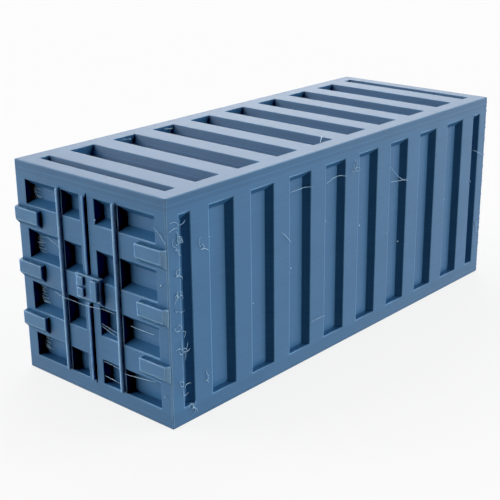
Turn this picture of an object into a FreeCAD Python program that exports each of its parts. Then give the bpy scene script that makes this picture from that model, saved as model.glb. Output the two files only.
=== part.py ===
"""Scale model of a ribbed freight container, with its doors shut.

Frame: X across the door end, Y from the doors to the blind end, Z up.
The origin is the middle of the underside of the box. Millimetres.
"""

import FreeCAD
import Part
import Sketcher
import os
import re

os.makedirs("parts", exist_ok=True)
doc = FreeCAD.newDocument("container_model")

# ---------------------------------------------------------------- sizes
SIZES = {
    # the box
    "length": 124.8,
    "width": 48.8,
    "height": 51.6,
    # frame and plates
    "shell": 3.0,  # section of the posts, thickness of the walls and doors
    "rail": 3.4,  # height of the long rails, headers and sills
    "corner_round": 0.45,
    "roof_plate": 4.2,
    "floor_plate": 1.8,
    # slots of the sides, the roof and the blind end
    "side_border": 0.6,  # flat edge of a panel beside its first slot
    "head_border": 0.65,  # flat edge of a panel below and above its slots
    "roof_border": 1.15,
    "narrow_slot": 3.4,
    "rib": 5.4,
    "wide_count": 8,
    "recess": 1.65,
    "flank": 1.4,  # how far a slot narrows from its mouth to its bed
    "narrow_flank": 1.3,
    "flank_share": 0.45,  # a flank never takes more of a slot's mouth than this, so a bed always remains
    "roof_recess": 3.0,
    "roof_ease": 0.45,  # a roof slot starts this much after the side slot beside it
    "back_count": 4,
    # door leaves
    "door_gap": 0.3,
    "door_border": 0.4,
    "door_recess": 2.45,
    "door_ceiling": 2.0,
    "band_height": 5.7,
    "band_slope": 1.2,
    "bar_stile": 1.6,
    "meeting_stile": 2.45,
    # lip along the meeting edge of the left leaf
    "lip_width": 0.7,
    "lip_proud": 0.7,
    # lock bars
    "bar_offset": 9.1,
    "bar_width": 1.05,
    "bar_proud": 0.8,
    "bar_overlap": 0.3,
    # hinge straps
    "strap_height": 4.4,
    "strap_length": 8.5,
    "strap_proud": 1.3,
    "strap_bevel": 0.55,
    # lock box at the middle of the doors
    "plate_width": 7.95,
    "plate_height": 6.8,
    "plate_proud": 1.15,
    "plate_shift": 0.2,
    "plate_rise": 0.5,
    "plate_edge": 0.35,
    "lug_width": 1.9,
    "lug_height": 2.15,
    "lug_gap": 0.5,
    "lug_proud": 0.7,
    "lug_offset": 1.15,
    "block_proud": 0.9,
    "block_inset": 0.25,
}

sheet = doc.addObject("Spreadsheet::Sheet", "Sizes")
for row, (alias, value) in enumerate(SIZES.items(), start=1):
    sheet.set(f"A{row}", alias)
    sheet.set(f"B{row}", str(value))
    sheet.setAlias(f"B{row}", alias)
doc.recompute()

ROWS = 4  # rows of recesses up each door leaf
TOUCH = 0.01
NAMES = re.compile(r"\b(" + "|".join(SIZES) + r")\b")
nodes = []


def bind(obj, values):
    """Tie each property of obj to a formula in the names of the sizes."""
    for prop, formula in values.items():
        obj.setExpression(prop, NAMES.sub(r"Sizes.\1", formula))


def keep(obj, name):
    """Name a finished sub-part, which is written to a file of that name."""
    obj.Label = name
    nodes.append(obj)
    return obj


def box(name, x, y, z, size_x, size_y, size_z):
    """A block from its lowest corner and its three sizes, all formulas."""
    block = doc.addObject("Part::Box", name)
    bind(
        block,
        {
            "Length": size_x,
            "Width": size_y,
            "Height": size_z,
            "Placement.Base.x": x,
            "Placement.Base.y": y,
            "Placement.Base.z": z,
        },
    )
    return block


def section(name, role):
    """A body with an empty sketch on the origin plane of that role."""
    body = doc.addObject("PartDesign::Body", name + "_body")
    sketch = body.newObject("Sketcher::SketchObject", name + "_section")
    plane = [feature for feature in body.Origin.OriginFeatures if feature.Role == role][0]
    sketch.AttachmentSupport = [(plane, "")]
    sketch.MapMode = "FlatFace"
    return body, sketch


# ---------------------------------------------------------------- corner posts
def corner_post(name, side, end):
    """A square post with its outer upright edge rounded."""
    turn = {(-1, -1): 0, (1, -1): 90, (1, 1): 180, (-1, 1): 270}[(side, end)]
    body, sketch = section(name, "XY_Plane")
    square(sketch, "shell")
    pad = body.newObject("PartDesign::Pad", name + "_pad")
    pad.Profile = sketch
    bind(pad, {"Length": "height"})
    doc.recompute()
    fillet = body.newObject("PartDesign::Fillet", name + "_round")
    fillet.Base = (pad, [edge_at(pad.Shape, FreeCAD.Vector(0, 0, SIZES["height"] / 2))])
    bind(fillet, {"Radius": "corner_round"})
    body.Placement.Rotation = FreeCAD.Rotation(FreeCAD.Vector(0, 0, 1), turn)
    bind(body, {"Placement.Base.x": f"{side} * width / 2", "Placement.Base.y": f"{end} * length / 2"})
    return keep(body, name)


def square(sketch, side):
    """Draw a square from the sketch's origin, with one driving side."""
    corners = [(0, 0), (1, 0), (1, 1), (0, 1)]
    points = [FreeCAD.Vector(x * SIZES[side], y * SIZES[side], 0) for x, y in corners]
    for i in range(4):
        sketch.addGeometry(Part.LineSegment(points[i], points[(i + 1) % 4]))
    for i in range(4):
        sketch.addConstraint(Sketcher.Constraint("Coincident", i, 2, (i + 1) % 4, 1))
    for i in (0, 2):
        sketch.addConstraint(Sketcher.Constraint("Horizontal", i))
        sketch.addConstraint(Sketcher.Constraint("Vertical", i + 1))
    sketch.addConstraint(Sketcher.Constraint("Coincident", 0, 1, -1, 1))
    for i, label in ((0, "along"), (1, "across")):
        index = sketch.addConstraint(Sketcher.Constraint("Distance", i, SIZES[side]))
        sketch.renameConstraint(index, label)
        bind(sketch, {"Constraints." + label: side})


def edge_at(shape, point):
    """Name of the edge whose middle is at point."""
    for i, edge in enumerate(shape.Edges, start=1):
        middle = edge.valueAt((edge.FirstParameter + edge.LastParameter) / 2)
        if middle.distanceToPoint(point) < TOUCH:
            return f"Edge{i}"
    raise ValueError("no edge has its middle there")


for side, side_name in ((-1, "left"), (1, "right")):
    for end, end_name in ((-1, "front"), (1, "back")):
        corner_post(f"{end_name}_{side_name}_post", side, end)

# ---------------------------------------------------------------- rails, headers, sills
for side_name, x in (("left", "0 - width / 2"), ("right", "width / 2 - shell")):
    for level, z in (("bottom", "0"), ("top", "height - rail")):
        rail = box(f"{side_name}_{level}_rail_box", x, "shell - length / 2", z, "shell", "length - 2 * shell", "rail")
        keep(rail, f"{side_name}_{level}_rail")

for end_name, y in (("door", "0 - length / 2"), ("back", "length / 2 - shell")):
    for level, z in (("sill", "0"), ("header", "height - rail")):
        beam = box(f"{end_name}_{level}_box", "shell - width / 2", y, z, "width - 2 * shell", "shell", "rail")
        keep(beam, f"{end_name}_{level}")

floor = box(
    "floor_box", "shell - width / 2", "shell - length / 2", "0", "width - 2 * shell", "length - 2 * shell", "floor_plate"
)
keep(floor, "floor_panel")


# ---------------------------------------------------------------- slotted panels
def recess(name, start, end, low, high, depth, flank_start, flank_end, rise, drop):
    """A tapered cutter: its mouth lies on Y = 0 and its bed at Y = depth."""
    cutter = doc.addObject("Part::Wedge", name)
    bind(
        cutter,
        {
            "Xmin": start,
            "Xmax": end,
            "Zmin": low,
            "Zmax": high,
            "Ymin": "0",
            "Ymax": depth,
            "X2min": f"{start} + {flank_start}",
            "X2max": f"{end} - {flank_end}",
            "Z2min": f"{low} + {rise}",
            "Z2max": f"{high} - {drop}",
        },
    )
    return cutter


def cut(name, plate, cutters):
    """The plate with every cutter taken out of it."""
    tool = doc.addObject("Part::Compound", name + "_cutters")
    tool.Links = cutters
    result = doc.addObject("Part::Cut", name + "_cut")
    result.Base = plate
    result.Tool = tool
    return keep(result, name)


def slot_spans():
    """Start, end and flank of each slot along a side, from the door end to the blind end."""
    edge = "length / 2 - shell - side_border"
    wide = (
        "( length - 2 * shell - 2 * side_border - 2 * narrow_slot - ( wide_count + 1 ) * rib ) / wide_count"
    )
    first = f"narrow_slot + rib - ( {edge} )"
    spans = [(f"0 - ( {edge} )", f"narrow_slot - ( {edge} )", "narrow_flank")]
    for i in range(int(SIZES["wide_count"])):
        start = f"{first} + {i} * ( {wide} + rib )"
        spans.append((start, f"{start} + {wide}", "flank"))
    spans.append((f"{edge} - narrow_slot", edge, "narrow_flank"))
    return spans


def slant(flank, start, end):
    """A flank's width, held to its share of the slot's mouth."""
    return f"min( {flank} ; flank_share * ( {end} - ( {start} ) ) )"


SLOT_LOW = "rail + head_border"
SLOT_HIGH = "height - rail - head_border"


def side_wall(name, side):
    """A ribbed side: upright slots with slanted flanks, a flat sill and a sloped head."""
    x = "width / 2 - shell" if side > 0 else "0 - width / 2"
    plate = box(name + "_plate", x, "shell - length / 2", "rail", "shell", "length - 2 * shell", "height - 2 * rail")
    cutters = []
    for i, (start, end, flank) in enumerate(slot_spans(), start=1):
        taper = slant(flank, start, end)
        cutter = recess(
            f"{name}_slot_{i}", start, end, SLOT_LOW, SLOT_HIGH, "recess", taper, taper, "0", "recess"
        )
        cutter.Placement.Rotation = FreeCAD.Rotation(FreeCAD.Vector(0, 0, 1), 90 * side)
        bind(cutter, {"Placement.Base.x": f"{side} * width / 2"})
        cutters.append(cutter)
    return cut(name, plate, cutters)


side_wall("left_side_wall", -1)
side_wall("right_side_wall", 1)


def roof_panel():
    """The roof between the top rails, with the slots of the sides running across it."""
    plate = box(
        "roof_plate_box",
        "shell - width / 2",
        "shell - length / 2",
        "height - roof_plate",
        "width - 2 * shell",
        "length - 2 * shell",
        "roof_plate",
    )
    reach = "width / 2 - shell - roof_border"
    cutters = []
    for i, (start, end, flank) in enumerate(slot_spans(), start=1):
        start = f"{start} + roof_ease"
        taper = slant(flank, start, end)
        cutter = recess(
            f"roof_slot_{i}", f"0 - ( {reach} )", reach, start, end, "roof_recess", "0", "0", taper, taper
        )
        cutter.Placement.Rotation = FreeCAD.Rotation(FreeCAD.Vector(1, 0, 0), -90)
        bind(cutter, {"Placement.Base.z": "height"})
        cutters.append(cutter)
    return cut("roof_panel", plate, cutters)


roof_panel()


def back_wall():
    """The blind end, ribbed like the sides."""
    plate = box(
        "back_plate",
        "shell - width / 2",
        "length / 2 - shell",
        "rail",
        "width - 2 * shell",
        "shell",
        "height - 2 * rail",
    )
    edge = "width / 2 - shell - door_border"
    slot = "( width - 2 * shell - 2 * door_border - ( back_count - 1 ) * rib ) / back_count"
    cutters = []
    for i in range(int(SIZES["back_count"])):
        start = f"{i} * ( {slot} + rib ) - ( {edge} )"
        cutter = recess(
            f"back_slot_{i + 1}",
            start,
            f"{start} + {slot}",
            SLOT_LOW,
            SLOT_HIGH,
            "recess",
            "flank",
            "flank",
            "0",
            "recess",
        )
        cutter.Placement.Rotation = FreeCAD.Rotation(FreeCAD.Vector(0, 0, 1), 180)
        bind(cutter, {"Placement.Base.y": "length / 2"})
        cutters.append(cutter)
    return cut("back_wall", plate, cutters)


back_wall()


# ---------------------------------------------------------------- door leaves
def door(name, side):
    """A leaf with two columns of recesses between its cross bands."""
    x = "door_gap / 2" if side > 0 else "shell - width / 2"
    leaf_width = "width / 2 - shell - door_gap / 2"
    plate = box(name + "_plate", x, "0 - length / 2", "rail", leaf_width, "shell", "height - 2 * rail")
    columns = (
        ("meeting_stile", "bar_offset - bar_stile / 2"),
        ("bar_offset + bar_stile / 2", "width / 2 - shell - door_border"),
    )
    cutters = []
    for column, (near, far) in enumerate(columns, start=1):
        start, end = (near, far) if side > 0 else (f"0 - ( {far} )", f"0 - ( {near} )")
        for level in range(ROWS):
            low = SLOT_LOW if level == 0 else f"{level} * height / {ROWS} + band_height / 2"
            high = SLOT_HIGH if level == ROWS - 1 else f"{level + 1} * height / {ROWS} - band_height / 2"
            cutter = recess(
                f"{name}_recess_{column}_{level + 1}",
                start,
                end,
                low,
                high,
                "door_recess",
                "0",
                "0",
                "0" if level == 0 else "band_slope",
                "door_ceiling",
            )
            bind(cutter, {"Placement.Base.y": "0 - length / 2"})
            cutters.append(cutter)
    return cut(name, plate, cutters)


door("left_door", -1)
door("right_door", 1)

PLATE_LOW = "height / 2 + plate_rise - plate_height / 2"
PLATE_HIGH = "height / 2 + plate_rise + plate_height / 2"

lip_pieces = (
    ("lower_door_lip", SLOT_LOW, f"{PLATE_LOW} - rail - head_border"),
    ("upper_door_lip", PLATE_HIGH, f"height - rail - head_border - ( {PLATE_HIGH} )"),
)
for name, low, tall in lip_pieces:
    lip = box(
        name + "_box", "0 - door_gap / 2 - lip_width", "0 - length / 2 - lip_proud", low, "lip_width", "lip_proud", tall
    )
    keep(lip, name)

for side, side_name in ((-1, "left"), (1, "right")):
    bar = box(
        f"{side_name}_bar_box",
        f"{side} * bar_offset - bar_width / 2",
        "0 - length / 2 - bar_proud",
        SLOT_LOW,
        "bar_width",
        "bar_proud",
        "height - 2 * rail - 2 * head_border + bar_overlap",
    )
    keep(bar, f"{side_name}_lock_bar")


# ---------------------------------------------------------------- hinge straps and lock box
def prism(name, outline, across):
    """An upright strip: an outline in Y and Z, given as formulas, run along X from 0."""
    body, sketch = section(name, "YZ_Plane")
    count = len(outline)
    points = [FreeCAD.Vector(value_of(y), value_of(z), 0) for y, z in outline]
    for i in range(count):
        sketch.addGeometry(Part.LineSegment(points[i], points[(i + 1) % count]))
    for i in range(count):
        sketch.addConstraint(Sketcher.Constraint("Coincident", i, 2, (i + 1) % count, 1))
    for i, (y, z) in enumerate(outline):
        for kind, formula, value in (("DistanceX", y, points[i].x), ("DistanceY", z, points[i].y)):
            if value == 0:
                other = Sketcher.Constraint("PointOnObject", i, 1, -2 if kind == "DistanceX" else -1)
                sketch.addConstraint(other)
                continue
            index = sketch.addConstraint(Sketcher.Constraint(kind, -1, 1, i, 1, value))
            label = f"{kind}_{i}"
            sketch.renameConstraint(index, label)
            bind(sketch, {"Constraints." + label: formula})
    pad = body.newObject("PartDesign::Pad", name + "_pad")
    pad.Profile = sketch
    bind(pad, {"Length": across})
    return body


def value_of(formula):
    """The number that a formula in the names of the sizes gives."""
    probe = doc.addObject("App::FeaturePython", "probe")
    probe.addProperty("App::PropertyFloat", "Number")
    bind(probe, {"Number": formula})
    doc.recompute()
    number = probe.Number
    doc.removeObject(probe.Name)
    return number


def hinge_strap(name, side, level):
    """A strap on a band: flat top, sloped underside, outer end bevelled back to the corner."""
    blank = prism(
        name + "_blank",
        [
            ("0", "0"),
            ("0 - strap_proud", "strap_proud"),
            ("0 - strap_proud", "strap_height"),
            ("0", "strap_height"),
        ],
        "strap_length",
    )
    middle = f"{level} * height / {ROWS} - strap_height / 2"
    start = "width / 2 - strap_length" if side > 0 else "0 - width / 2"
    bind(
        blank,
        {
            "Placement.Base.x": start,
            "Placement.Base.y": "0 - length / 2",
            "Placement.Base.z": middle,
        },
    )
    corner = doc.addObject("Part::Wedge", name + "_bevel")
    outer = "strap_length" if side > 0 else "0"
    inner = "strap_length - strap_bevel" if side > 0 else "strap_bevel"
    low, high = (inner, outer) if side > 0 else (outer, inner)
    bind(
        corner,
        {
            "Xmin": low,
            "Xmax": high,
            "Ymin": "0 - strap_proud",
            "Ymax": "0",
            "Zmin": "0",
            "Zmax": "strap_height",
            "X2min": outer,
            "X2max": outer,
            "Z2min": "0",
            "Z2max": "strap_height",
            "Placement.Base.x": start,
            "Placement.Base.y": "0 - length / 2",
            "Placement.Base.z": middle,
        },
    )
    strap = doc.addObject("Part::Cut", name + "_cut")
    strap.Base = blank
    strap.Tool = corner
    return keep(strap, name)


for side, side_name in ((-1, "left"), (1, "right")):
    for level, level_name in ((1, "bottom"), (2, "middle"), (3, "top")):
        hinge_strap(f"{side_name}_{level_name}_hinge", side, level)

lock_plate = prism(
    "lock_plate",
    [
        ("0", "0"),
        ("0 - plate_proud", "plate_proud"),
        ("0 - plate_proud", "plate_height"),
        ("0", "plate_height"),
    ],
    "plate_width",
)
bind(
    lock_plate,
    {
        "Placement.Base.x": "plate_shift - plate_width / 2",
        "Placement.Base.y": "0 - length / 2",
        "Placement.Base.z": PLATE_LOW,
    },
)
keep(lock_plate, "lock_plate")

LUG_TOP = f"{PLATE_HIGH} - plate_edge"
LUG_X = "plate_shift + lug_offset - plate_width / 2"
upper_lug = box(
    "upper_lug_box",
    LUG_X,
    "0 - length / 2 - plate_proud - lug_proud",
    f"{LUG_TOP} - lug_height",
    "lug_width",
    "lug_proud",
    "lug_height",
)
keep(upper_lug, "upper_lock_lug")
lower_lug = box(
    "lower_lug_box",
    LUG_X,
    "0 - length / 2 - plate_proud - lug_proud",
    f"{LUG_TOP} - 2 * lug_height - lug_gap",
    "lug_width",
    "lug_proud",
    "lug_height",
)
keep(lower_lug, "lower_lock_lug")
block = box(
    "lock_block_box",
    "plate_shift + plate_width / 2 - block_inset - lug_width",
    "0 - length / 2 - plate_proud - block_proud",
    f"{LUG_TOP} - 2 * lug_height - lug_gap",
    "lug_width",
    "block_proud",
    "2 * lug_height + lug_gap",
)
keep(block, "lock_block")

# ---------------------------------------------------------------- check and write
doc.recompute()
for obj in doc.Objects:
    if "Invalid" in obj.State or "Error" in obj.State:
        raise RuntimeError(f"{obj.Label} did not compute")
for node in nodes:
    if node.Shape.isNull() or not node.Shape.isValid():
        raise RuntimeError(f"{node.Label} has no valid shape")
for node in nodes:
    node.Shape.exportStep(f"parts/{node.Label}.step")
    print(f"{node.Label}: {len(node.Shape.Solids)} solid, {node.Shape.Volume:.1f} mm3")
print(f"{len(nodes)} sub-parts")
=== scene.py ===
# %% [markdown]
# # A printed toy freight container
# The model is one small box printed in blue-grey plastic, with slotted sides, a slotted roof and two doors
# that don't open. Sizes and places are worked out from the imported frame, so the looks follow the construction.
# This file reads like a notebook: a note before each step, then a short cell that does it.

# %% Load the frame
import math
import random

import bmesh
import bpy
from mathutils import Matrix, Vector
from mathutils.bvhtree import BVHTree


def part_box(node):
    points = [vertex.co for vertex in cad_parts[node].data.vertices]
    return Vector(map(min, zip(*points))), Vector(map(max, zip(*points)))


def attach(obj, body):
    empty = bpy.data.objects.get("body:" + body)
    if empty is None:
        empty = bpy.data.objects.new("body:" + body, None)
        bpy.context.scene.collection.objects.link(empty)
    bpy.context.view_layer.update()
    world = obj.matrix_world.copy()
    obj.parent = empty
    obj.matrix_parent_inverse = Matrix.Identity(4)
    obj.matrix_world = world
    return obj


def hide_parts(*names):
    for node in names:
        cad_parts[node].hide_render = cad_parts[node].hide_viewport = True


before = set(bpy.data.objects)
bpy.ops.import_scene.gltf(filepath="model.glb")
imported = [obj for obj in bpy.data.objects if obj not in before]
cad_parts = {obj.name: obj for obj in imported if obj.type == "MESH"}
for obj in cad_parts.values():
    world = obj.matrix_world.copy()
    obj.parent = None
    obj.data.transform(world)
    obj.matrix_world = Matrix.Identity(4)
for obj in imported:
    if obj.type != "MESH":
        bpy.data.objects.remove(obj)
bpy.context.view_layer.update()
NODES = sorted(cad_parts)
MM = 0.001
print(len(NODES), "printed pieces")

# %% [markdown]
# ## The box that everything hangs on
# The straps and bars stand proud of the doors, so the overall box isn't the body of the model. The corner
# posts are: they give its width, length and height. Later positions are worked out from them or from other
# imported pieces, many of them as a share of the way along a span.


# %% Measure the body
def share(span, part):
    """The place this part of the way along a span; 0 is its start, 1 its end."""
    return span[0] + (span[1] - span[0]) * part


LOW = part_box("front_left_post")[0]
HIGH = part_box("back_right_post")[1]
WIDTH, LENGTH, HEIGHT = HIGH - LOW
DOOR_Y = LOW.y
print(f"body {WIDTH / MM:.1f} x {LENGTH / MM:.1f} x {HEIGHT / MM:.1f} mm")

# %% [markdown]
# ## A small set of node helpers
# Materials are built from shader nodes. One helper adds a node and sets its inputs, which keeps the recipes
# readable, because each call then says only what is special about that node.


# %% Node helpers
def add(tree, kind, inputs=None, **settings):
    """Add a shader node; inputs are numbers, colours or sockets of other nodes."""
    node = tree.nodes.new("ShaderNode" + kind)
    for key, value in settings.items():
        setattr(node, key, value)
    for key, value in (inputs or {}).items():
        if isinstance(value, bpy.types.NodeSocket):
            tree.links.new(value, node.inputs[key])
        else:
            node.inputs[key].default_value = value
    return node


def new_material(name):
    """An empty node material with its output node."""
    material = bpy.data.materials.new(name)
    material.use_nodes = True
    material.node_tree.nodes.clear()
    output = add(material.node_tree, "OutputMaterial")
    return material, material.node_tree, output


# %% [markdown]
# ## The plastic
# The filament is a matte blue-grey with a soft sheen. What makes it look printed is the stack of layers: a
# fine ripple up every wall, a few layers near the foot and the head that came out a shade lighter or darker,
# and diagonal strokes on the faces that point up. All of it is worked out from the place on the object, so it
# never slides. Two materials also scatter light under the surface: the one for small parts on the doors, and
# the one for the lock bars and the upright corners.
# The rounded edges, the upright corners, the lock bars and the small parts on the doors are painted lighter than
# the body: painted highlights.

# %% Printed plastic
# Each tone has a light and a deep end, and a noise chooses between them.
PLASTIC = (0.038, 0.158, 0.33, 1.0)
PLASTIC_DEEP = (0.032, 0.14, 0.30, 1.0)
# Painted highlight: the rounded edges are a lighter blue than the body, as if light caught them.
EDGE_HIGHLIGHT_PALE = (0.085, 0.24, 0.44, 1.0)
EDGE_HIGHLIGHT_DEEP = (0.06, 0.195, 0.38, 1.0)
# Painted highlight: the upright corners and the lock bars are lighter still; they also let light in under the
# surface.
CORNER_HIGHLIGHT_PALE = (0.2, 0.36, 0.54, 1.0)
CORNER_HIGHLIGHT_DEEP = (0.16, 0.31, 0.48, 1.0)
# Painted light: the small parts on the doors are a shade lighter than the body, as if more light fell on them;
# they also let light in under the surface.
SMALL_PAINTED_LIGHT_PALE = (0.06, 0.2, 0.385, 1.0)
SMALL_PAINTED_LIGHT_DEEP = (0.05, 0.175, 0.345, 1.0)
STRING_LIGHT = (0.6, 0.84, 1.0, 1.0)
STRING_DEEP = (0.42, 0.68, 0.88, 1.0)
MATT, EDGE_MATT, STRING_MATT = 0.42, 0.35, 0.5
SHEEN = 0.25
LAYER = 0.2 * MM
STROKE = 0.45 * MM
WAVE_TURN = 2 * math.pi / 20  # a band texture of scale 1 repeats after this length
STREAK = (60.0, 60.0, 2600.0)  # noise squeezed until it lies in layers
CLOUD = 90.0
FINE_RELIEF = 0.02 * MM
COARSE_RELIEF = 0.05 * MM
LIGHT_REACH = 1.2 * MM
LIGHT_REACH_RGB = (0.8, 0.9, 1.0)

# From this height upwards, the tone is multiplied by this grey. The heights are shares of the two rails.
FOOT_RAIL = [corner.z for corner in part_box("right_bottom_rail")]
HEAD_RAIL = [corner.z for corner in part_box("right_top_rail")]
TONE_LINES = (
    (share(FOOT_RAIL, 0.0), 0.86),
    (share(FOOT_RAIL, 0.259), 1.0),
    (share(FOOT_RAIL, 0.382), 0.93),
    (share(FOOT_RAIL, 1.0), 1.0),
    (share(HEAD_RAIL, 0.0), 1.0),
    (share(HEAD_RAIL, 0.206), 0.9),
    (share(HEAD_RAIL, 0.412), 1.04),
    (share(HEAD_RAIL, 0.541), 0.88),
)


def printed_plastic(name, light, deep, roughness, soft=0.0):
    """Layered plastic between two tones; soft is how much light passes under its surface."""
    material, tree, output = new_material(name)
    place = add(tree, "TexCoord").outputs["Object"]
    layers = add(
        tree,
        "TexWave",
        {"Vector": place, "Scale": WAVE_TURN / LAYER, "Distortion": 0.6, "Detail": 1.0, "Detail Scale": 0.02},
        bands_direction="Z",
    )
    flat = add(tree, "Mapping", {"Vector": place, "Scale": STREAK})
    drift = add(tree, "TexNoise", {"Vector": flat.outputs[0], "Scale": 1.0, "Detail": 3.0, "Roughness": 0.65})
    cloud = add(tree, "TexNoise", {"Vector": place, "Scale": CLOUD, "Detail": 4.0, "Roughness": 0.6})
    turned = add(tree, "Mapping", {"Vector": place, "Rotation": (0.0, 0.0, math.radians(45))})
    strokes = add(
        tree,
        "TexWave",
        {"Vector": turned.outputs[0], "Scale": WAVE_TURN / STROKE, "Distortion": 0.4, "Detail": 1.0},
        bands_direction="X",
    )
    facing = add(tree, "SeparateXYZ", {"Vector": add(tree, "NewGeometry").outputs["Normal"]})
    upward = add(tree, "MapRange", {"Value": facing.outputs["Z"], "From Min": 0.9, "From Max": 0.99})
    relief = add(
        tree,
        "Mix",
        {0: upward.outputs[0], 2: layers.outputs["Fac"], 3: strokes.outputs["Fac"]},
        data_type="FLOAT",
    )
    shade = add(tree, "Math", {0: drift.outputs["Fac"], 1: cloud.outputs["Fac"]}, operation="ADD")
    tone = add(tree, "MapRange", {"Value": shade.outputs[0], "From Min": 0.75, "From Max": 1.25})
    colour = add(tree, "Mix", {0: tone.outputs[0], 6: deep, 7: light}, data_type="RGBA")
    height = add(tree, "SeparateXYZ", {"Vector": place})
    part = add(tree, "Math", {0: height.outputs["Z"], 1: HEIGHT}, operation="DIVIDE")
    lines = add(tree, "ValToRGB", {"Fac": part.outputs[0]})
    lines.color_ramp.interpolation = "CONSTANT"
    stops = lines.color_ramp.elements
    for i, (level, grey) in enumerate(TONE_LINES):
        stop = stops[i] if i < 2 else stops.new(level / HEIGHT)
        stop.position = level / HEIGHT
        stop.color = (grey, grey, grey, 1.0)
    colour = add(
        tree,
        "Mix",
        {0: 1.0, 6: colour.outputs[2], 7: lines.outputs["Color"]},
        data_type="RGBA",
        blend_type="MULTIPLY",
    )
    fine = add(tree, "Bump", {"Height": relief.outputs[0], "Strength": 0.25, "Distance": FINE_RELIEF})
    coarse = add(
        tree,
        "Bump",
        {
            "Height": drift.outputs["Fac"],
            "Strength": 0.3,
            "Distance": COARSE_RELIEF,
            "Normal": fine.outputs[0],
        },
    )
    shader = add(
        tree,
        "BsdfPrincipled",
        {
            "Base Color": colour.outputs[2],
            "Roughness": roughness,
            "Specular IOR Level": SHEEN,
            "Subsurface Weight": soft,
            "Subsurface Radius": LIGHT_REACH_RGB,
            "Subsurface Scale": LIGHT_REACH,
            "Normal": coarse.outputs[0],
        },
    )
    tree.links.new(shader.outputs[0], output.inputs["Surface"])
    return material


plastic = printed_plastic("printed_plastic", PLASTIC, PLASTIC_DEEP, MATT)
# The edge, corner and small-part materials below carry painted highlights in their lighter colours.
edge_highlight_plastic = printed_plastic("printed_edge_painted_highlight", EDGE_HIGHLIGHT_PALE, EDGE_HIGHLIGHT_DEEP, EDGE_MATT)
corner_highlight_plastic = printed_plastic("printed_corner_painted_highlight", CORNER_HIGHLIGHT_PALE, CORNER_HIGHLIGHT_DEEP, MATT, soft=1.0)
string_plastic = printed_plastic("printed_string", STRING_LIGHT, STRING_DEEP, STRING_MATT)
small_painted_light_plastic = printed_plastic("printed_small_part_painted_light", SMALL_PAINTED_LIGHT_PALE, SMALL_PAINTED_LIGHT_DEEP, MATT, soft=1.0)
print("materials:", ", ".join(material.name for material in bpy.data.materials))

# %% [markdown]
# ## Which edges meet the air
# A nozzle can't lay down a knife edge, so every printed edge is slightly round. The construction solids are
# sharp, and they touch their neighbours along seams that the real print doesn't have. Only an edge whose two
# faces are both in the open is rounded. A face is in the open where no other piece lies on it.

# %% Find the open edges
TOUCH = 0.01 * MM
DOUBLED = 0.001 * MM
PROBE = 0.06 * MM
SHARP = math.radians(28)
FLAT = math.radians(0.5)
PROBE_SHARES = (0.04, 0.15, 0.3, 0.45, 0.6, 0.75, 0.9)


def solid_mesh(node):
    """The node's solid as a clean bmesh: bare points and faces, doubled points joined, flat faces whole."""
    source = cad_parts[node].data
    bm = bmesh.new()
    points = [bm.verts.new(vertex.co) for vertex in source.vertices]
    for polygon in source.polygons:
        bm.faces.new([points[i] for i in polygon.vertices])
    bmesh.ops.remove_doubles(bm, verts=bm.verts, dist=DOUBLED)
    bmesh.ops.dissolve_limit(bm, angle_limit=FLAT, verts=bm.verts, edges=bm.edges)
    bm.normal_update()
    return bm


def neighbour_tree(node):
    """A search tree of every piece but this one."""
    points, faces = [], []
    for other in NODES:
        if other == node:
            continue
        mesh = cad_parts[other].data
        start = len(points)
        points.extend(v.co.copy() for v in mesh.vertices)
        faces.extend([start + i for i in p.vertices] for p in mesh.polygons)
    return BVHTree.FromPolygons(points, faces)


def open_face(tree, edge, face):
    """True if most of the strip of the face beside the edge is clear of every neighbour."""
    along = (edge.verts[1].co - edge.verts[0].co).normalized()
    inward = face.normal.cross(along)
    middle = (edge.verts[0].co + edge.verts[1].co) / 2
    if (face.calc_center_median() - middle).dot(inward) < 0:
        inward = -inward
    clear = 0
    for part in PROBE_SHARES:
        spot = edge.verts[0].co.lerp(edge.verts[1].co, part) + inward * PROBE
        clear += tree.find_nearest(spot, TOUCH)[0] is None
    return clear > len(PROBE_SHARES) / 2


def open_edges(bm, tree):
    """The sharp convex edges whose two faces are both in the open."""
    found = []
    for edge in bm.edges:
        if len(edge.link_faces) != 2 or not edge.is_convex or edge.calc_face_angle() < SHARP:
            continue
        if all(open_face(tree, edge, face) for face in edge.link_faces):
            found.append(edge)
    return found


# %% [markdown]
# ## Round them over
# A bevel weight marks each open edge, and a Bevel modifier rounds only those. The lock bars are rounded until
# they are nearly half-round, and the edges on the table nearly twice as much as the others. A Weighted Normal
# modifier then keeps the big faces flat in the light, so that the rounding alone catches a highlight.
# The rounding, and the faces round the upright corners, are also painted in lighter materials: painted
# highlights.

# %% Printed pieces
EDGE_ROUND = 0.22 * MM
FOOT_ROUND = 0.4 * MM
BAR_ROUND = 0.45 * MM
ROUND_STEPS = 4
FLAT_FACE_WEIGHT = 80
CORNER = 1.0 * MM
TURNED = 0.15
SMALL_WORDS = ("hinge", "bar", "lip", "lock")
# Material slots for the painted highlights: the lighter rounded edges and the lighter upright corners.
EDGE_HIGHLIGHT_SLOT, CORNER_HIGHLIGHT_SLOT = 1, 2


def at_foot(edge):
    """True for an edge that lies on the table."""
    return all(vertex.co.z < LOW.z + TOUCH for vertex in edge.verts)


def at_corner(face):
    """True for a face that turns one of the four upright corners."""
    middle = face.calc_center_median()
    near_side = min(middle.x - LOW.x, HIGH.x - middle.x) < CORNER
    near_end = min(middle.y - LOW.y, HIGH.y - middle.y) < CORNER
    return near_side and near_end and abs(face.normal.x) > TURNED and abs(face.normal.y) > TURNED


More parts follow.
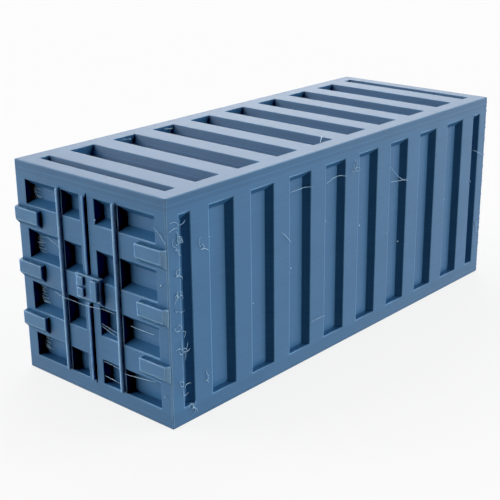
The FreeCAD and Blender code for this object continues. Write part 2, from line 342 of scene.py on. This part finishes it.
def print_piece(node):
    """Make a visible copy of the node with its open edges rounded, and count those edges."""
    bm = solid_mesh(node)
    tree = neighbour_tree(node)
    weight = bm.edges.layers.float.new("bevel_weight_edge")
    rounded = open_edges(bm, tree)
    bar = "bar" in node.split("_")
    width = BAR_ROUND if bar else FOOT_ROUND
    for edge in rounded:
        edge[weight] = 1.0 if bar or at_foot(edge) else EDGE_ROUND / FOOT_ROUND
    # Faces round the upright corners are painted with the lighter corner material: a painted highlight.
    for face in bm.faces:
        if at_corner(face):
            face.material_index = CORNER_HIGHLIGHT_SLOT
    mesh = bpy.data.meshes.new(node + "_print")
    bm.to_mesh(mesh)
    bm.free()
    piece = bpy.data.objects.new(node + "_print", mesh)
    bpy.context.scene.collection.objects.link(piece)
    small = any(word in node for word in SMALL_WORDS)
    # Lock bars take the lighter corner material and small parts the lighter small-part material: painted
    # highlights.
    mesh.materials.append(corner_highlight_plastic if bar else small_painted_light_plastic if small else plastic)
    mesh.materials.append(edge_highlight_plastic)
    mesh.materials.append(corner_highlight_plastic)
    mesh.shade_smooth()
    bevel = piece.modifiers.new("rounded edges", "BEVEL")
    bevel.limit_method = "WEIGHT"
    bevel.width = width
    bevel.segments = ROUND_STEPS
    bevel.use_clamp_overlap = True
    # The rounding takes a lighter material, a painted highlight: the corner one on small parts, the edge one
    # elsewhere.
    bevel.material = CORNER_HIGHLIGHT_SLOT if small else EDGE_HIGHLIGHT_SLOT
    normals = piece.modifiers.new("flat faces", "WEIGHTED_NORMAL")
    normals.keep_sharp = True
    normals.weight = FLAT_FACE_WEIGHT
    mesh.set_sharp_from_angle(angle=SHARP)
    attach(piece, "root")
    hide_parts(node)
    return len(rounded)


for node in NODES:
    print(node, print_piece(node), "open edges")

# %% [markdown]
# ## Where the recesses open
# The strings need something to hang on. The mouth of each slot and each door recess is read back from the
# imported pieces: the corners that lie on the outer face, sorted, come in pairs of start and end.


# %% Mouths of the recesses
def mouths(node, face, level, axis):
    """Start and end, along an axis, of each recess in the node's face at this level."""
    points = [vertex.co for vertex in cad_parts[node].data.vertices]
    places = sorted({round(point[axis] / TOUCH) for point in points if abs(point[face] - level) < TOUCH})
    inner = [place * TOUCH for place in places[1:-1]]
    return list(zip(inner[::2], inner[1::2]))


X, Y, Z = 0, 1, 2
SLOTS = mouths("right_side_wall", X, HIGH.x, Y)
SLOT_LEVELS = mouths("right_side_wall", X, HIGH.x, Z)[0]
ROOF_SLOTS = mouths("roof_panel", Z, HEIGHT, Y)
ROOF_REACH = mouths("roof_panel", Z, HEIGHT, X)[0]
LEFT_COLUMNS = mouths("left_door", Y, DOOR_Y, X)
RIGHT_COLUMNS = mouths("right_door", Y, DOOR_Y, X)
ROWS = mouths("right_door", Y, DOOR_Y, Z)
print(len(SLOTS), "side slots,", len(ROOF_SLOTS), "roof slots,", len(ROWS), "rows of door recesses")
print(len(LEFT_COLUMNS), "and", len(RIGHT_COLUMNS), "columns of door recesses")

# %% [markdown]
# ## Strings and tufts
# A hot nozzle that jumps across a gap draws a hair of plastic after it, and the hairs curl up where it wipes
# itself on a corner. They are as thin as thread, pale because light passes through them, and they belong to
# this print, so they stay. A hair's place is a share of the way across a mouth and a share of the way up it.
# The shares are rounded and follow where the hairs of the real print sit. The path of each hair is random.

# %% Places on the faces
random.seed(64)
HAIR = 0.05 * MM


def on_side(along, up, out):
    return Vector((HIGH.x + out, along, up))


def on_doors(along, up, out):
    return Vector((along, DOOR_Y - out, up))


def on_roof(along, up, out):
    return Vector((along, up, HEIGHT + out))


# %% [markdown]
# ## Three shapes of hair
# Each hair is a short NURBS curve with its own thickness. A strand is drawn across a gap, a tuft curls about
# one point, and a speck is so short that it closes into a bead. At the end the curves become one mesh.


# %% Hairs
THIN_END = 0.55
STRAND_STEPS = 6
STRAND_WAVER, STRAND_LIFT = 0.06, 0.05
TUFT_STEPS, TUFT_STEP, TUFT_SPREAD, TUFT_LIFT = 6, 0.38, 0.3, 0.17
CURL_LEAST, CURL_MOST = 0.1, 0.95
OFF_FACE, SPECK_OFF_FACE = 0.25, 0.1
SPECK_SHARES = (-0.8, 0.0, 0.8)
SPECK_TILT = 0.5


def jitter(size):
    """A random shift of up to so many millimetres either way."""
    return random.uniform(-size, size) * MM


def hair(curve, points, thick=HAIR):
    """One smooth hair through a few points, thinner at its ends."""
    spline = curve.splines.new("NURBS")
    spline.points.add(len(points) - 1)
    for i, (control, point) in enumerate(zip(spline.points, points)):
        control.co = (*point, 1.0)
        middle = 1 - abs(2 * i / (len(points) - 1) - 1)
        control.radius = thick * (THIN_END + (1 - THIN_END) * middle)
    spline.order_u = 3
    spline.use_endpoint_u = True


def strand(curve, place, start, end, bow=0.2, out=OFF_FACE):
    """A hair drawn across a gap from start to end, bowed and held off the face by so many millimetres."""
    points = []
    for i in range(STRAND_STEPS + 1):
        t = i / STRAND_STEPS
        along = start[0] + (end[0] - start[0]) * t
        up = start[1] + (end[1] - start[1]) * t + bow * MM * math.sin(math.pi * t) + jitter(STRAND_WAVER)
        points.append(place(along, up, out * MM + jitter(STRAND_LIFT)))
    hair(curve, points)


def tuft(curve, place, middle, reach, hairs, out=OFF_FACE):
    """Curled hairs about one point, each with this reach in millimetres."""
    for _ in range(hairs):
        turn = random.uniform(0, 2 * math.pi)
        curl = random.choice((-1, 1)) * random.uniform(CURL_LEAST, CURL_MOST)
        along = middle[0] + jitter(TUFT_SPREAD * reach)
        up = middle[1] + jitter(TUFT_SPREAD * reach)
        points = []
        for _ in range(TUFT_STEPS):
            points.append(place(along, up, out * MM + jitter(TUFT_LIFT)))
            along += TUFT_STEP * reach * MM * math.cos(turn)
            up += TUFT_STEP * reach * MM * math.sin(turn)
            turn += curl
        hair(curve, points)


def speck(curve, place, middle, size, out=SPECK_OFF_FACE):
    """A small blob of this size in millimetres."""
    size *= MM
    tilt = random.uniform(-SPECK_TILT, SPECK_TILT)
    points = [place(middle[0] + k * size, middle[1] + k * size * tilt, out * MM) for k in SPECK_SHARES]
    hair(curve, points, size)


def strings(name, fill, material):
    """Draw hairs with fill, then keep them as one mesh piece of this material."""
    curve = bpy.data.curves.new(name, "CURVE")
    curve.dimensions = "3D"
    curve.bevel_depth = 1.0
    curve.bevel_resolution = 1
    curve.resolution_u = 3
    curve.use_fill_caps = True
    fill(curve)
    drawn = bpy.data.objects.new(name + "_drawn", curve)
    bpy.context.scene.collection.objects.link(drawn)
    mesh = bpy.data.meshes.new_from_object(drawn.evaluated_get(bpy.context.evaluated_depsgraph_get()))
    bpy.data.objects.remove(drawn)
    mesh.materials.clear()
    mesh.materials.append(material)
    mesh.shade_smooth()
    piece = bpy.data.objects.new(name, mesh)
    bpy.context.scene.collection.objects.link(piece)
    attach(piece, "root")
    print(name, len(curve.splines), "hairs,", len(mesh.polygons), "faces")


# %% [markdown]
# On the long side the hairs cross a slot near its head, or lie on the rib behind it. The nozzle wiped itself
# on the post by the doors, so that post is whiskered from head to foot.

# %% The long side
# Slot number, share of its height at its start and at its end, bow in millimetres.
SLOT_STRANDS = ((4, 0.92, 0.91, 0.3), (5, 0.9, 0.9, 0.9), (7, 0.86, 0.74, -0.9), (7, 0.77, 0.75, 0))
# Number of the slot before the rib, share of the way across the rib at its start, then the two heights.
RIB_STRANDS = ((3, 0.4, 0.72, 0.65), (4, 0.0, 0.13, 0.13))
# Share of the slots' height, and how many hairs.
POST_TUFTS = (
    (0.95, 3),
    (0.88, 8),
    (0.84, 3),
    (0.7, 3),
    (0.6, 6),
    (0.53, 2),
    (0.42, 3),
    (0.31, 7),
    (0.12, 3),
    (0.09, 1),
)
# Slot number, share across it, share up it, and how many hairs.
WALL_TUFTS = (
    (1, 0.6, -0.02, 5),
    (2, -0.4, 0.8, 3),
    (2, -0.2, 0.11, 3),
    (6, -0.2, 0.93, 5),
    (10, 1.4, 0.23, 3),
)
SPECK_ACROSS = (-0.15, -0.02, 0.03)
# Slot number, share across it, share up it, and size in millimetres.
BIG_SPECKS = ((1, 0.7, -0.02, 0.26), (7, 0.55, 0.38, 0.24))


def slot_point(number, across, level):
    return share(SLOTS[number - 1], across), share(SLOT_LEVELS, level)


def side_strings(curve):
    for number, level, end_level, bow in SLOT_STRANDS:
        strand(curve, on_side, slot_point(number, 0, level), slot_point(number, 1, end_level), bow)
    for number, across, level, end_level in RIB_STRANDS:
        rib = (SLOTS[number - 1][1], SLOTS[number][0])
        start = (share(rib, across), share(SLOT_LEVELS, level))
        strand(curve, on_side, start, (rib[1], share(SLOT_LEVELS, end_level)))
    strand(curve, on_side, slot_point(len(SLOTS), 0, 0.78), (HIGH.y, share(SLOT_LEVELS, 0.7)))

    post = (LOW.y, SLOTS[0][0])
    for level, hairs in POST_TUFTS:
        middle = (share(post, random.uniform(0.3, 1.0)), share(SLOT_LEVELS, level))
        tuft(curve, on_side, middle, random.uniform(0.9, 1.5), hairs)
    for number, across, level, hairs in WALL_TUFTS:
        tuft(curve, on_side, slot_point(number, across, level), random.uniform(0.7, 1.4), hairs)
    for number in range(2, len(SLOTS) + 1):
        level = random.uniform(0.3, 0.98)
        middle = slot_point(number, random.choice(SPECK_ACROSS), level)
        speck(curve, on_side, middle, random.uniform(0.1, 0.25))
    for number, across, level, size in BIG_SPECKS:
        speck(curve, on_side, slot_point(number, across, level), size)


strings("side_strings", side_strings, string_plastic)

# %% [markdown]
# On the doors one long string runs across both leaves under the lock box, and short ones hang in the
# recesses of the right leaf, between the meeting stile and the bar.

# %% The doors
PLATE_LOW, PLATE_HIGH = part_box("lock_plate")
LEFT_BAR, RIGHT_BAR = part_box("left_lock_bar"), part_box("right_lock_bar")
INNER, OUTER = RIGHT_COLUMNS
LEFT_OUTER = LEFT_COLUMNS[0]
SAG = 0.5 * MM
PROUD = 1.0
IN_MOUTH = 0.1
# Row from the bottom, and the two heights as shares of it.
INNER_STRANDS = ((1, 0.42, 0.3), (1, 0.35, 0.15), (0, 0.95, 0.9), (0, 0.35, 0.3))
# Row from the bottom, the two heights, and where the strand starts.
OUTER_STRANDS = ((0, 0.8, 1.02, RIGHT_BAR[1].x), (1, 0.75, 0.75, share(OUTER, 0.25)))
POST_SPECK_ROWS = (0, 2)


def door_strings(curve):
    foot = PLATE_LOW.z
    between = (LEFT_BAR[1].x + PLATE_LOW.x) / 2
    strand(curve, on_doors, (share(LEFT_OUTER, 0.85), foot), (between, foot - SAG), -0.3, PROUD)
    strand(curve, on_doors, (between, foot - SAG), (PLATE_HIGH.x, foot), -0.25, PROUD)
    strand(curve, on_doors, (PLATE_HIGH.x, foot), (INNER[1], ROWS[1][1]), 0.1, 0.9 * PROUD)
    for row, level, end_level in INNER_STRANDS:
        start = (share(INNER, 0.1), share(ROWS[row], level))
        strand(curve, on_doors, start, (INNER[1], share(ROWS[row], end_level)), 0.05, IN_MOUTH)
    for row, level, end_level, start in OUTER_STRANDS:
        end = (share(OUTER, 0.9), share(ROWS[row], end_level))
        strand(curve, on_doors, (start, share(ROWS[row], level)), end, -0.1, 0.3)
    start, end = (share(LEFT_OUTER, 0.6), share(ROWS[2], 0.9)), (LEFT_OUTER[1], share(ROWS[2], 0.65))
    strand(curve, on_doors, start, end, 0.2, IN_MOUTH)
    start, end = (OUTER[1], share(ROWS[3], 0.6)), (HIGH.x, share(ROWS[3], 0.1))
    strand(curve, on_doors, start, end, 0.4, 0.3)
    speck(curve, on_doors, (share(INNER, 0.05), share(ROWS[3], 0.2)), 0.22, 0.0)
    speck(curve, on_doors, (LEFT_BAR[1].x, (ROWS[2][1] + ROWS[3][0]) / 2), 0.14, 0.85)
    for row in POST_SPECK_ROWS:
        speck(curve, on_doors, ((OUTER[1] + HIGH.x) / 2, share(ROWS[row], 0.6)), 0.2, 0.4)


strings("door_strings", door_strings, string_plastic)

# %% [markdown]
# The four outer recesses of the left leaf hold a fringe of short hairs. They lie on the bed, close to the
# flank by the hinge side, one above the other, and point towards the middle of the recess.


# %% Fringes in the recesses
FRINGE_HAIRS = 11
FRINGE_FOOT, FRINGE_STEP = 0.2, 0.06
QUARTERS = (0.0, 0.25, 0.5, 0.75, 1.0)


def recess_fringes(curve):
    for row in ROWS:
        for level in range(FRINGE_HAIRS):
            up = share(row, FRINGE_FOOT + FRINGE_STEP * level) + jitter(0.1)
            start = LEFT_OUTER[0] + random.uniform(0.0, 0.8) * MM
            length = random.uniform(1.2, 3.2) * MM
            depth = random.uniform(-2.3, -1.7) * MM
            rise = jitter(0.35)
            hair(curve, [on_doors(start + length * t, up + rise * t + jitter(0.1), depth) for t in QUARTERS])


strings("recess_fringes", recess_fringes, string_plastic)

# %% [markdown]
# One thicker hair arches over the right end of a roof slot, and small curls hang in two left ends.


# %% The roof
# Share of the way, and height in millimetres.
ARCH = ((0.0, 0.1), (0.15, 0.5), (0.5, 0.9), (0.85, 0.5), (1.0, 0.1))
ARCH_SLOT, CURL_SLOTS = 4, (2, 3)
ARCH_THICK = 0.13 * MM


def roof_strings(curve):
    slot = ROOF_SLOTS[ARCH_SLOT]
    points = []
    for t, out in ARCH:
        points.append(on_roof(share(ROOF_REACH, 0.93 + 0.07 * t), share(slot, 1 - 0.65 * t), out * MM))
    hair(curve, points, ARCH_THICK)
    for number in CURL_SLOTS:
        middle = (share(ROOF_REACH, 0.03), share(ROOF_SLOTS[number], 0.5))
        tuft(curve, on_roof, middle, 1.2, 3, -0.5)


strings("roof_strings", roof_strings, string_plastic)

# %% [markdown]
# Each layer starts and ends at a corner and leaves a small bead there. The beads stack into a seam up the far
# upright corner of the long side, which is why that edge isn't quite straight.


# %% Seam beads
BEADS = 40
BEAD_SPAN = (0.01 * HEIGHT, 0.99 * HEIGHT)
BEAD_STRETCH = 2.2
BEAD_DEEP = -0.1 * MM
SEAM_INSET = 0.2 * MM


def seam_beads(curve):
    for i in range(BEADS):
        up = share(BEAD_SPAN, (i + random.uniform(0.2, 0.8)) / BEADS)
        size = random.uniform(0.06, 0.17) * MM
        behind = HIGH.y - SEAM_INSET + jitter(0.05)
        points = [on_side(behind, up + k * size * BEAD_STRETCH, BEAD_DEEP) for k in (-1, 0, 1)]
        hair(curve, points, size)


# The beads take the lighter edge material, so they carry its painted highlight.
strings("seam_beads", seam_beads, edge_highlight_plastic)

# %% [markdown]
# ## The table
# The model stands on a plain pale table. The table glows a little by itself, which keeps it near white, and
# only the camera sees it, so it neither tints the plastic nor hides the low lamps.


# %% Pale table
TABLE_SIZE = 6.0
TABLE_GLOW = 0.835
TABLE_LEAST, TABLE_MOST = 0.125, 0.135


def pale_surface(name, strength):
    material, tree, output = new_material(name)
    grain = add(tree, "TexNoise", {"Scale": 12.0, "Detail": 3.0})
    limits = {"To Min": TABLE_LEAST, "To Max": TABLE_MOST}
    shade = add(tree, "MapRange", {"Value": grain.outputs["Fac"], **limits})
    colour = add(tree, "CombineColor", {0: shade.outputs[0], 1: shade.outputs[0], 2: shade.outputs[0]})
    shader = add(
        tree,
        "BsdfPrincipled",
        {
            "Base Color": colour.outputs[0],
            "Roughness": 0.9,
            "Specular IOR Level": 0.0,
            "Emission Color": (1.0, 1.0, 1.0, 1.0),
            "Emission Strength": strength,
        },
    )
    tree.links.new(shader.outputs[0], output.inputs["Surface"])
    return material


def table():
    bpy.ops.mesh.primitive_plane_add(size=TABLE_SIZE)
    top = bpy.context.object
    top.name = "table"
    top.data.materials.append(pale_surface("pale_table", TABLE_GLOW))
    top.visible_diffuse = False
    top.visible_glossy = False
    top.visible_shadow = False


table()
print("table", TABLE_SIZE, "m wide")

# %% [markdown]
# ## The light
# Far, soft lamps stand all round except on the viewer's side. They fan out to the left and the right of the
# viewer and stand behind the model, and the low ones stand for the light that a pale table throws back up.
# So the flanks that face the viewer stay dark. The pale backdrop is seen but gives no light.

# %% Soft lamps
VIEW_TURN = 41.78
LAMP_SPREAD = math.radians(40)
LOW_LAMP, LEVEL_LAMP, HIGH_LAMP, TOP_LAMP = -25, 5, 35, 65
SIDE_LAMPS = (  # turn away from the viewer, and height, in degrees
    (60, LEVEL_LAMP),
    (70, LOW_LAMP),
    (85, LEVEL_LAMP),
    (85, HIGH_LAMP),
    (112, LOW_LAMP),
    (112, LEVEL_LAMP),
    (112, HIGH_LAMP),
)
SIDE_STRENGTH = {LOW_LAMP: 0.5, LEVEL_LAMP: 0.66, HIGH_LAMP: 0.74}
BACK_STRENGTH = {LEVEL_LAMP: 0.95, HIGH_LAMP: 0.95, TOP_LAMP: 0.6}
BACKDROP = (0.95, 0.95, 0.95, 1.0)


def lamp(name, azimuth, elevation, strength):
    """A far soft lamp that shines on the model from one direction."""
    a, e = math.radians(azimuth), math.radians(elevation)
    away = Vector((math.sin(a) * math.cos(e), -math.cos(a) * math.cos(e), math.sin(e)))
    data = bpy.data.lights.new(name, "SUN")
    data.energy = strength
    data.angle = LAMP_SPREAD
    light = bpy.data.objects.new(name, data)
    bpy.context.scene.collection.objects.link(light)
    light.rotation_euler = away.to_track_quat("Z", "Y").to_euler()


for turn, elevation in SIDE_LAMPS:
    for side, word in ((-1, "left"), (1, "right")):
        lamp(f"{word}_lamp_{turn}_{elevation}", VIEW_TURN + side * turn, elevation, SIDE_STRENGTH[elevation])
for elevation, strength in BACK_STRENGTH.items():
    lamp(f"back_lamp_{elevation}", VIEW_TURN + 180, elevation, strength)

world = bpy.data.worlds.new("studio")
bpy.context.scene.world = world
world.use_nodes = True
backdrop = world.node_tree.nodes["Background"].inputs
backdrop["Color"].default_value = BACKDROP
backdrop["Strength"].default_value = 1.0
world.cycles_visibility.diffuse = False
world.cycles_visibility.glossy = False
world.cycles_visibility.transmission = False
print(len(bpy.data.lights), "lamps")

# %% [markdown]
# ## The camera
# The camera stands off the right front corner, about four and a half box widths from the corner's top and a
# little more than one width above the roof. A long lens keeps the box from flaring. The view curve sets where
# black begins, so that the deepest corners of the recesses close up.

# %% Camera
EYE = Vector((3.570 * WIDTH, DOOR_Y - 2.922 * WIDTH, 2.3604 * WIDTH))
TURN, TILT, ROLL = math.radians(VIEW_TURN), math.radians(19.84), math.radians(-0.61)
LENS, SENSOR = 78.6, 36.0
BLACK = (0.002, 0.010, 0.024)
camera_data = bpy.data.cameras.new("camera")
camera_data.lens = LENS
camera_data.sensor_width = SENSOR
camera = bpy.data.objects.new("camera", camera_data)
bpy.context.scene.collection.objects.link(camera)
back = Vector((math.sin(TURN) * math.cos(TILT), -math.cos(TURN) * math.cos(TILT), math.sin(TILT)))
across = Vector((0, 0, 1)).cross(back).normalized()
upward = back.cross(across)
stand = Matrix((across, upward, back)).transposed() @ Matrix.Rotation(ROLL, 3, "Z")
camera.matrix_world = Matrix.Translation(EYE) @ stand.to_4x4()
bpy.context.scene.camera = camera
view = bpy.context.scene.view_settings
view.view_transform = "Standard"
view.use_curve_mapping = True
view.curve_mapping.black_level = BLACK
view.curve_mapping.update()
print("camera", [round(c, 4) for c in EYE])
